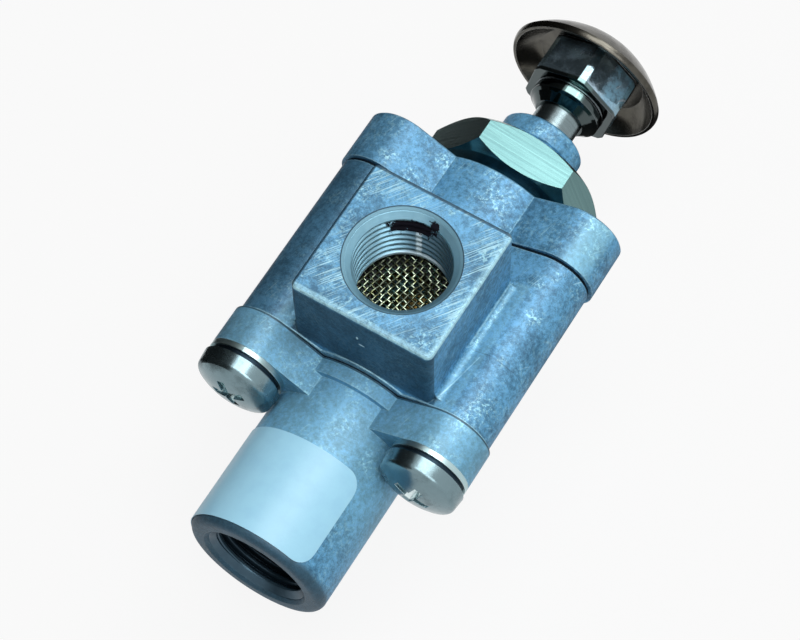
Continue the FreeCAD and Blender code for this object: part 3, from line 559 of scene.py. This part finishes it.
# %% Port threads
PORT_WALL_R = 8.44
PORT_MINOR_R = 7.5
PORT_TAPER = 1 / 32
PORT_GROOVE = 0.92
PORT_CREST = 0.3
LEAD_IN = 0.9
FADE_IN = 0.5
MOUTH_DEPTH = 0.53


def port_radius(depth, share):
    """Depth is from below the first edge of the mouth: a cone, then the tapered thread."""
    minor = PORT_MINOR_R - depth * PORT_TAPER
    faded = min(1, max(0, (depth - LEAD_IN) / FADE_IN))
    groove = PORT_GROOVE * faded * (1 - ridge(depth, share, PORT_CREST))
    return max(PORT_WALL_R - depth, minor + groove)


supply = threaded_ring("supply_thread", supply_mouth - Z * MOUTH_DEPTH * MM, -Z, 11.6,
                       port_radius, PORT_WALL_R)
delivery = threaded_ring("delivery_thread", delivery_mouth + Y * MOUTH_DEPTH * MM, Y, 11.4,
                         port_radius, PORT_WALL_R)
print("the ports narrow from", PORT_WALL_R, "mm to", round(port_radius(11, 0), 2), "mm")

# %% Neck thread
NECK_LAND = 2.6
NECK_TIP_R = 6.75
NECK_ROOT_R = 6.62
NECK_RIDGE = 0.5
NECK_CREST = 0.55
NECK_INNER_R = 6.5
INTO_NUT = 0.3


def neck_ridges(depth, share):
    return NECK_ROOT_R + NECK_RIDGE * ridge(depth, share, NECK_CREST)


def neck_radius(depth, share):
    """Depth is from the tip of the neck: a chamfer, a plain land, then the thread."""
    major = NECK_ROOT_R + NECK_RIDGE
    return min(NECK_TIP_R + depth, neck_ridges(depth, share) if depth > NECK_LAND else major)


nut_low, nut_high = (corner.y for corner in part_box("panel_nut"))
neck_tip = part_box("cover")[1].y
outer = threaded_ring("neck_thread_tip", Y * (neck_tip - 0.05 * MM), -Y,
                      (neck_tip - nut_high) / MM + INTO_NUT, neck_radius, NECK_INNER_R)
inner = threaded_ring("neck_thread_root", Y * (nut_low + INTO_NUT * MM), -Y,
                      nut_low / MM + INTO_NUT - 0.02, neck_ridges, NECK_INNER_R)
dress(outer, casting, "housing")
dress(inner, casting, "housing")

# %% [markdown]
# The cut faces are brighter and smoother than the cast skin, with fine rings from the tool, and the
# roots are painted darker as shade. How far a point lies from the port's axis tells crest from root.
# Deep in the delivery port the thread is painted darker still, as shade. In the supply port painted
# highlights pick out one streak and the last turn, and painted shade fills the side nearest the camera
# and the far right of the deeper turns. A ragged dark patch, rougher and less metallic, lies on the
# far wall. It is placed by its direction from the axis and its depth, and noise tears its edge.

# %% Cut alloy
CUT_METALLIC = 0.45
TEAR = 6
BLOB_SPOT = Vector((1.15, 8.2, -1.8)) * MM


def cut_alloy(name, middle, axis, dark, light, depth_shade=0, has_dark_patch=False):
    """Finish for a thread. Its middle is in the mouth, and depth is negative inside the port."""
    finish = Finish(name, Specular_IOR_Level=0.2, Metallic=CUT_METALLIC)
    place = vector(finish, "SUBTRACT", where(finish), middle)
    radius = distance(finish, place, stretch=Vector((1, 1, 1)) - Vector([abs(v) for v in axis]))
    depth = along(finish, place, axis / MM)
    rings = finish.add("ShaderNodeTexNoise", {"noise_dimensions": "1D"},
                       {"W": depth, "Scale": 1 / 0.12, "Detail": 2.0})
    # The roots of the thread are painted darker as shade.
    root_shade = radius.between(7.6, 8.1) * (1 - depth.between(-2.0, -1.2))
    # Deeper in the port the thread is painted darker as shade, by the share given for it.
    deep_shade = depth_shade * (1 - depth.between(-4.0, -1.5))
    colour = painted(finish, dark, (light, grain(finish, place, 1.5, detail=4)),
                     ((0.015, 0.035, 0.055), 0.9 * root_shade), ((0.01, 0.02, 0.03), deep_shade))
    rough = 0.36 - 0.1 * rings
    if has_dark_patch:
        colour, dark_patch = port_wall(finish, place, radius, depth, colour)
        rough = rough + 0.5 * dark_patch
        finish.set(finish.shader, {"Metallic": CUT_METALLIC * (1 - dark_patch)})
    finish.look(colour, rough, bump(finish, rings, 0.015))
    return finish


def port_wall(finish, place, radius, depth, colour):
    """Colour of the supply port's wall with its painted highlights and shade, and where a dark patch covers
    it.
    """
    def towards(x, y):
        return along(finish, place, Vector((x, y, 0)) / MM) / radius

    # Painted shade on the far right of the deeper turns and on the side nearest the camera.
    far_right_shade = towards(0.5, 0.87).between(0.1, 0.8) * (1 - depth.between(-2.6, -1.8))
    near_wall = towards(NEAREST.x, NEAREST.y).between(0.0, 0.9)
    # Painted highlights on one streak and on the last turn.
    streak = towards(-0.22, 0.975).between(0.9965, 0.999) * (1 - depth.between(-3.2, -2.6))
    last_turn = towards(-0.6, 0.8).between(0.3, 0.7) * (1 - depth.between(-11.4, -11.0))
    # A ragged dark patch on the far wall, rougher and less metallic than the thread.
    torn = TEAR * (grain(finish, place, 1.6, detail=4, roughness=0.75) - 0.5)
    low = (depth + torn).between(-5.3, -5.1)
    high = 1 - (depth + 0.4 * torn).between(-1.9, -1.7)
    patch_strip = (towards(-0.31, 0.95) + 0.06 * torn).between(0.88, 0.9) * low * high
    blob = distance(finish, place, BLOB_SPOT) + 0.5 * torn
    dark_patch = patch_strip.at_least(1 - blob.between(0.95, 1.1))
    colour = painted(finish, colour, ((0.03, 0.06, 0.1), 0.7 * far_right_shade),
                     ((0.03, 0.08, 0.12), 0.5 * near_wall),
                     ((0.75, 0.92, 1.0), 0.6 * streak.at_least(last_turn)),
                     ((0.002, 0.0015, 0.006), dark_patch))
    return colour, dark_patch


supply_alloy = cut_alloy("supply_port_cut", supply_mouth, Z, (0.2, 0.42, 0.56), (0.32, 0.58, 0.7),
                         has_dark_patch=True)
delivery_alloy = cut_alloy("delivery_port_cut", delivery_mouth, -Y, (0.04, 0.08, 0.12),
                           (0.08, 0.15, 0.2), depth_shade=0.85)
dress(supply, supply_alloy, "housing")
dress(delivery, delivery_alloy, "housing")

# %% [markdown]
# ## Woven screen
# A disc of plain-woven wire keeps grit out of the supply port. Seen close, each wire goes over one
# and under the next, and every high point catches the light. A picture of cloth on a disc would lose
# that, so each wire is a thin tube that follows a wave, and neighbours are half a wave apart. The
# wires of real screen cloth wander a little, so a slow noise shifts them.

# %% Wires of the screen
screen_low, screen_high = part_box("inlet_screen")
screen_middle = (screen_low + screen_high) / 2
screen_r = (screen_high.x - screen_low.x) / 2 / MM - 0.05
MESH_PITCH = 0.86
WIRE_R = 0.21
WIRE_WAVE = 0.07
WIRE_WANDER = 0.2
WIRE_SIDES = 8
STEPS_PER_PITCH = 4
weave_turn = Matrix.Rotation(math.radians(76), 3, "Z")


def wire_line(lane, crosswise):
    """Middle line of one wire, in millimetres about the middle of the screen."""
    offset = lane * MESH_PITCH
    half = math.sqrt(screen_r ** 2 - offset ** 2) - WIRE_R
    count = max(2, round(2 * half / MESH_PITCH * STEPS_PER_PITCH))
    line = []
    for step in range(count + 1):
        run = -half + 2 * half * step / count
        lift = WIRE_WAVE * math.cos(math.pi * (run / MESH_PITCH + lane + crosswise))
        wander = WIRE_WANDER * noise.noise(Vector((offset, run * 0.35, 7.0 * crosswise)))
        spot = Vector((run, offset + wander, lift) if crosswise else (offset + wander, run, lift))
        line.append(weave_turn @ spot)
    return line


lanes = range(-int(screen_r / MESH_PITCH), int(screen_r / MESH_PITCH) + 1)
lines = [wire_line(lane, crosswise) for crosswise in (0, 1) for lane in lanes]
print(len(lines), "wires in a disc of", round(2 * screen_r, 2), "mm")

# %% Tubes round the wires
def circle(middle, one, other, radius, sides):
    """Points round a middle, in the plane of two directions."""
    angles = [2 * math.pi * corner / sides for corner in range(sides)]
    return [middle + (one * math.cos(angle) + other * math.sin(angle)) * radius for angle in angles]


def add_tube(points, faces, circles):
    """Adds a tube through circles of points, closed at both ends."""
    sides = len(circles[0])
    first = len(points)
    for spots in circles:
        points.extend(spots)
    for low in range(first, len(points) - sides, sides):
        for corner in range(sides):
            after = (corner + 1) % sides
            faces.append((low + corner, low + after, low + sides + after, low + sides + corner))
    faces.append(tuple(reversed(range(first, first + sides))))
    faces.append(tuple(range(len(points) - sides, len(points))))


points, faces = [], []
for line in lines:
    side = (line[-1] - line[0]).normalized().cross(Z).normalized()
    add_tube(points, faces, [circle(screen_middle + spot * MM, side, Z, WIRE_R * MM, WIRE_SIDES)
                             for spot in line])
screen = mesh_piece("woven_screen", points, faces)
screen_wire = Finish("screen_wire", Metallic=1.0)
place = where(screen_wire)
grime = grain(screen_wire, place, 2.5, detail=4).between(0.42, 0.6)
tarnish = grain(screen_wire, place, 0.5, detail=2)
colour = painted(screen_wire, (0.42, 0.5, 0.38), ((0.14, 0.15, 0.07), tarnish.between(0.4, 0.65)),
                 ((0.015, 0.015, 0.008), 0.8 * grime))
screen_wire.look(colour, 0.13 + 0.3 * grime, bump(screen_wire, tarnish, 0.01))
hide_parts("inlet_screen")
dress(screen, screen_wire, "housing")

# %% [markdown]
# ## Plated and polished steel
# The screws and washers are bright zinc plated, the nut is plated over brushed flats, the stem is
# ground and the knob is polished. All are metal all through the colour, so what tells them apart is
# the tint, how rough they are, and the marks of how they were made. Their edges are lighter, partly
# as wear and partly as a painted highlight. The brushed lines of the nut and the ground lines of the
# stem both run round the plunger axis, so one noise drawn out across that axis does for both. The
# floor of each screw's cross recess gets painted glints that make it brighter than its head, and it
# is found by its distance from the screw's axis and its height below the crown.

# %% Screws and washers
SCREW_CIRCLE_R = 18.5
SCREW_ANGLES = (30, 150, 270)
RECESS_R, RECESS_DEPTH = 3.2, 0.5


def plated(name, colour, rough, inlay=None):
    """Plated metal: faint haze, small stains, edges lit as wear and painted highlight, and an inlay that
    gives a layer more.
    """
    finish = Finish(name, Metallic=1.0)
    place = where(finish)
    soft_normal = rounded(finish, 0.12)
    haze = grain(finish, place, 0.9, detail=4)
    stains = grain(finish, place, 3.5, detail=5, roughness=0.65).between(0.5, 0.68)
    # Edges are lighter, partly as wear and partly as a painted highlight.
    wear_and_highlight = edge_share(finish, soft_normal, 3)
    tint = painted(finish, colour, (scaled(colour, 0.55), 0.3 * haze + 0.5 * stains),
                   (scaled(colour, 2.2), 0.6 * wear_and_highlight))
    if inlay:
        tint = painted(finish, tint, inlay(finish, place))
    finish.look(tint, rough + 0.14 * haze + 0.1 * stains, bump(finish, haze, 0.012, soft_normal))
    return finish


def recess_floor(finish, place):
    """Colour of the painted glints on the floors of the cross recesses, and where they are."""
    reach = None
    for angle in (math.radians(degrees) for degrees in SCREW_ANGLES):
        middle = Vector((math.cos(angle), 0, math.sin(angle))) * SCREW_CIRCLE_R * MM
        gap = distance(finish, place, middle, (1, 0, 1))
        reach = gap if reach is None else reach.at_most(gap)
    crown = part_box("cap_screws")[0].y / MM
    floor_y = crown + RECESS_DEPTH
    below_crown = along(finish, place, Y / MM).between(floor_y, floor_y + 0.2)
    # The recess floors get painted glints.
    glint = painted(finish, (0.5, 0.62, 0.64), ((0.9, 1.0, 1.0), grain(finish, place, 1)))
    return glint, (1 - reach.between(RECESS_R, RECESS_R + 0.1)) * below_crown


plated("screw_plate", (0.2, 0.29, 0.32), 0.15, recess_floor).wear("cap_screws")
plated("washer_plate", (0.45, 0.62, 0.64), 0.25).wear("flat_washers", "spring_seat")
plated("lock_steel", (0.02, 0.035, 0.05), 0.35).wear("lock_washers", "seal_retainer", "stem_clip")

# %% Nut and stem
def lined(name, colour, dull, rough, gap, length, soft):
    """Metal with lines that run round the plunger axis, a gap apart and a length long."""
    finish = Finish(name, Metallic=1.0)
    place = where(finish)
    soft_normal = rounded(finish, soft)
    fine = drawn_lines(finish, place, (0.8, 0, 0.6), Y, gap, length, detail=3)
    haze = grain(finish, place, 3, detail=4)
    # Edges are lighter, partly as wear and partly as a painted highlight.
    wear_and_highlight = edge_share(finish, soft_normal, 3)
    tint = painted(finish, colour, (dull, fine.between(0.3, 0.7) * 0.6 + 0.4 * haze),
                   (scaled(colour, 1.6), 0.5 * wear_and_highlight))
    finish.look(tint, rough + 0.14 * fine, bump(finish, fine, 0.03, soft_normal))
    return finish


lined("nut_plate", (0.13, 0.25, 0.25), (0.09, 0.185, 0.19), 0.15, 0.5, 16, 0.15).wear("panel_nut")
lined("stem_steel", (0.25, 0.33, 0.35), (0.14, 0.175, 0.185), 0.16, 0.12, 40, 0.1).wear("plunger_stem")

# %% [markdown]
# The knob is one piece, yet its parts look different. The head is dark and softly glossy with a brown
# cast, because hands keep it warm and smeared. The hexagon under it is a cleaner blue-grey with
# handling marks, painted light falls in pale blotches on its right side, and the collar is dark. The
# hexagon's corners and one stripe of the collar get a painted highlight: their colour is lighter and
# their direction leans towards the stem, so that they catch the light above. Edges are lighter too,
# partly as wear and partly as a painted highlight. The finish asks how far a point is from the axis
# and how high it lies on the knob.

# %% Knob
HUB_Y, COLLAR_END_Y = (24.2, 31.1), (24.3, 24.5)
HUB_R, CORNER_R, LIT_SIDE_X = (8.7, 9.0), (8.1, 8.5), (4.2, 5.2)
STRIPE_DIRECTION = Vector((0.216, 0, 0.976))
HIGHLIGHT_LEAN = (0, -0.36, 0)
knob_chrome = Finish("knob_chrome")
place = where(knob_chrome)
soft_normal = rounded(knob_chrome, 0.2)
# Edges are lighter, partly as wear and partly as a painted highlight.
wear_and_highlight = edge_share(knob_chrome, soft_normal, 3)
radius = distance(knob_chrome, place, stretch=(1, 0, 1))
along_axis, to_right = (along(knob_chrome, place, axis / MM) for axis in (Y, X))
hub = band(along_axis, *HUB_Y, 0.3) * (1 - radius.between(*HUB_R))
collar = 1 - along_axis.between(*COLLAR_END_Y)
head = 1 - hub.at_least(collar)
smears = grain(knob_chrome, place, 4, detail=5, roughness=0.7).between(0.42, 0.7)
blotches = grain(knob_chrome, place, 2.2, detail=5, roughness=0.7).between(0.4, 0.6)
# Painted light on the hub's right side, in pale blotches.
lit_right_side = hub * to_right.between(*LIT_SIDE_X) * (0.4 + 0.6 * blotches)
marks = drawn_lines(knob_chrome, place, (0.3, 0.8, 0.5), (0.8, -0.3, 0), 0.5, 3, detail=3)
marks = marks.between(0.62, 0.7) * hub
# Painted highlight on the hub's corners and one stripe of the collar, with their direction tilted towards
# the stem.
stripe = (along(knob_chrome, place, STRIPE_DIRECTION / MM) / radius).between(0.94, 0.975)
highlight_band = (hub * radius.between(*CORNER_R)).at_least(collar * stripe)
colour = painted(
    knob_chrome, (0.09, 0.086, 0.073),
    ((0.055, 0.052, 0.045), smears),
    (painted(knob_chrome, (0.2, 0.28, 0.33), ((0.62, 0.84, 1.0), smears)), hub),
    ((0.07, 0.09, 0.092), collar),
    ((0.26, 0.5, 0.66), lit_right_side),
    (painted(knob_chrome, (0.16, 0.25, 0.245), ((0.1, 0.16, 0.16), smears)), highlight_band),
    ((0.5, 0.55, 0.6), strongest(0.4 * wear_and_highlight, 0.6 * marks)))
highlight_normal = vector(knob_chrome, "ADD", soft_normal,
                     vector(knob_chrome, "MULTIPLY", HIGHLIGHT_LEAN, highlight_band))
knob_chrome.look(colour, 0.07 + 0.12 * smears + 0.15 * marks + 0.12 * head,
                 bump(knob_chrome, smears, 0.008, highlight_normal))
knob_chrome.set(knob_chrome.shader, {"Metallic": 1 - strongest(0.75 * lit_right_side, 0.12 * hub)})
knob_chrome.wear("knob")

# %% [markdown]
# ## Inner metals
# The liner, the spool and the bush sit inside, where a section or an opened model shows them. They
# are turned parts, so they have fine rings round the plunger axis.

# %% Turned inner parts
lined("liner_brass", (0.62, 0.45, 0.17), (0.45, 0.3, 0.1), 0.22, 0.15, 60, 0.05).wear("bore_liner")
lined("spool_alloy", (0.62, 0.64, 0.67), (0.45, 0.47, 0.5), 0.2, 0.2, 60, 0.05).wear("spool")
lined("bush_bronze", (0.42, 0.26, 0.12), (0.28, 0.16, 0.07), 0.38, 0.2, 60, 0.05).wear("guide_bush")

# %% [markdown]
# ## Return spring
# The spring in the cap gets shorter by the whole stroke when the knob is pushed in. A solid spring
# that only stands there would be cut by the spool. So a coil with closed ends is made as a mesh tube
# in the same place, with a mesh of its own. The share of its length that is left at the full stroke
# is worked out from the record, but nothing here makes the coil follow the plunger.

# %% Coil in the cap
COIL_TURNS = 4
COIL_WIRE_R = 0.45
COIL_STEPS = 40
COIL_SIDES = 12
coil_low, coil_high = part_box("return_spring")
coil_r = (coil_high.x - coil_low.x) / 2 / MM - COIL_WIRE_R
coil_rise = (coil_high.y - coil_low.y) / MM - 2 * COIL_WIRE_R
circles = []
for step in range(COIL_TURNS * COIL_STEPS + 1):
    turns = step / COIL_STEPS
    climbed = min(1, max(0, (turns - 0.5) / (COIL_TURNS - 1)))
    spoke = Vector((math.cos(2 * math.pi * turns), 0, math.sin(2 * math.pi * turns)))
    middle = Y * coil_low.y + (spoke * coil_r + Y * (coil_rise * climbed + COIL_WIRE_R)) * MM
    circles.append(circle(middle, spoke, Y, COIL_WIRE_R * MM, COIL_SIDES))
points, faces = [], []
add_tube(points, faces, circles)
coil = mesh_piece("coil_spring", points, faces)
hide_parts("return_spring")
dress(coil, plated("spring_wire", (0.5, 0.5, 0.52), 0.25), "housing")
stroke_joint = frame["record"]["behaviour"]["joints"][0]
stroke_length = stroke_joint["range_m"][1]
kept_share = 1 - (stroke_length + 0.05 * MM) / (coil_high.y - coil_low.y)
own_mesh(coil)

# %% [markdown]
# ## Rubber, gaskets and the label
# The seals are moulded rubber with a light bloom, and the gaskets are cut from dark fibre sheet. The
# label is a blank film with a cool white face. Its print is left off, and what makes it look real is
# a faint unevenness of the film over the cast skin and a soft sheen.

# %% Soft and paper-like finishes
def moulded(name, colour, highlight_band, rough, size, depth, shine=0.5):
    finish = Finish(name, Specular_IOR_Level=shine)
    place = where(finish)
    fibre = grain(finish, place, size, detail=3)
    bloom = grain(finish, place, 6 * size, detail=4).between(0.4, 0.7)
    finish.look(painted(finish, colour, (highlight_band, 0.4 * fibre + 0.5 * bloom)), rough + 0.12 * fibre,
                bump(finish, fibre + bloom, depth))
    return finish


moulded("seal_rubber", (0.014, 0.014, 0.015), (0.035, 0.035, 0.036), 0.5, 0.3, 0.01).wear(
    "liner_rings", "spool_rings", "stem_seal", "dust_wiper", "bumper_washer")
moulded("gasket_sheet", (0.003, 0.009, 0.017), (0.008, 0.018, 0.03), 0.85, 0.25, 0.03,
        shine=0.08).wear("cover_gasket", "cap_gasket")
moulded("label_film", (0.43, 0.8, 1.0), (0.37, 0.72, 0.94), 0.32, 0.5, 0.012).wear("port_label")

# %% [markdown]
# ## Light
# The light is plain: a white room, a large soft box overhead, and two smaller ones, behind and in
# front, for the shine of the sanded faces. The room lights the valve only a little, but the camera,
# mirrors and glass see it at full white, so polished metal shows a white room. One black card stands
# to the left and another lies under the knob, as photographers do with chrome, so that the metal has
# dark sides to tell its shape. The camera and dull surfaces don't see the cards, and they cast no
# shadow.

# %% Room and lamps
class Room(Finish):
    """The world's node tree, with the same way of adding nodes."""

    def __init__(self, world):
        self.tree = world.node_tree
        self.shader = self.tree.nodes["Background"]


def seen_directly(finish):
    """1 for rays from the camera, from mirrors and through glass, and 0 for the rest."""
    return strongest(*(finish.add("ShaderNodeLightPath", out=name) for name in
                       ("Is Camera Ray", "Is Glossy Ray", "Is Transmission Ray")))


ROOM_FILL = 0.06
world = bpy.data.worlds.new("room")
bpy.context.scene.world = world
world.use_nodes = True
room = Room(world)
room.set(room.shader, {"Color": (1, 1, 1, 1),
                       "Strength": ROOM_FILL + (1 - ROOM_FILL) * seen_directly(room)})


def soft_box(name, toward, away, width, radiance):
    """Square lamp that looks at the valve from a direction, as bright to the eye as radiance."""
    toward = Vector(toward).normalized()
    lamp_data = bpy.data.lights.new(name, "AREA")
    lamp_data.shape = "SQUARE"
    lamp_data.size = width
    lamp_data.energy = radiance * math.pi * width ** 2
    lamp = bpy.data.objects.new(name, lamp_data)
    bpy.context.scene.collection.objects.link(lamp)
    lamp.location = (solid_box[0] + solid_box[1]) / 2 + toward * away
    lamp.rotation_euler = (-toward).to_track_quat("-Z", "Y").to_euler()
    print(name, "gives", round(lamp_data.energy, 2), "W")


soft_box("overhead", (0.06, 0.0, 1.0), 0.6, 0.4, 3.6)
soft_box("behind", (0.25, 0.42, 0.87), 0.65, 0.3, 3.6)
soft_box("front", (0.45, -0.3, 0.84), 0.65, 0.3, 3.4)

# %% Black cards
def sheet(name, corner, one_edge, other_edge):
    """Flat sheet from one corner and the two edges that leave it."""
    corner, one_edge, other_edge = Vector(corner), Vector(one_edge), Vector(other_edge)
    corners = [corner, corner + one_edge, corner + one_edge + other_edge, corner + other_edge]
    return mesh_piece(name, corners, [(0, 1, 2, 3)])


def black_card(name, corner, one_edge, other_edge):
    card = sheet(name, corner, one_edge, other_edge)
    card.data.materials.append(card_stock.material)
    card.visible_camera = card.visible_shadow = card.visible_diffuse = False
    print(name, "starts at", [round(v, 4) for v in corner])


floor_z = solid_box[0].z - 0.2 * MM
card_stock = Finish("card_stock", Base_Color=(0.02, 0.02, 0.02, 1), Roughness=0.9)
black_card("side_card", (-0.058, -0.2, -0.024), 0.45 * Y, 0.164 * Z)
black_card("low_card", (0.002, -0.012, floor_z + 0.1 * MM), 0.032 * X, 0.062 * Y)

# %% [markdown]
# ## Floor
# The valve lies on white paper. The floor has to come out white without more light on the valve, so
# most of it glows for the camera and for mirrors only. The rest is plain paper, which takes the
# shadow and gives light back to the underside.

# %% Floor
FLOOR_W = 6
floor = sheet("floor", (-FLOOR_W / 2, -FLOOR_W / 2, floor_z), FLOOR_W * X, FLOOR_W * Y)
paper = Finish("paper", Base_Color=(0.6, 0.6, 0.6, 1), Roughness=0.8)
floor.data.materials.append(paper.material)
glow = paper.add("ShaderNodeEmission", None, {"Color": (1, 1, 1, 1), "Strength": 1.0})
surface = paper.add("ShaderNodeMixShader", None,
                    {0: seen_directly(paper) * 0.9, 1: Wire(paper, paper.shader.outputs[0]), 2: glow})
paper.set(paper.tree.nodes["Material Output"], {"Surface": surface})
print("floor at z", round(floor_z / MM, 2), "mm")

# %% [markdown]
# ## Finish
# The picture is shown with plain colours, and the box of the solids is printed.

# %% Finish
bpy.context.scene.view_settings.view_transform = "Standard"
print("solids", [[round(v / MM, 2) for v in corner] for corner in solid_box])
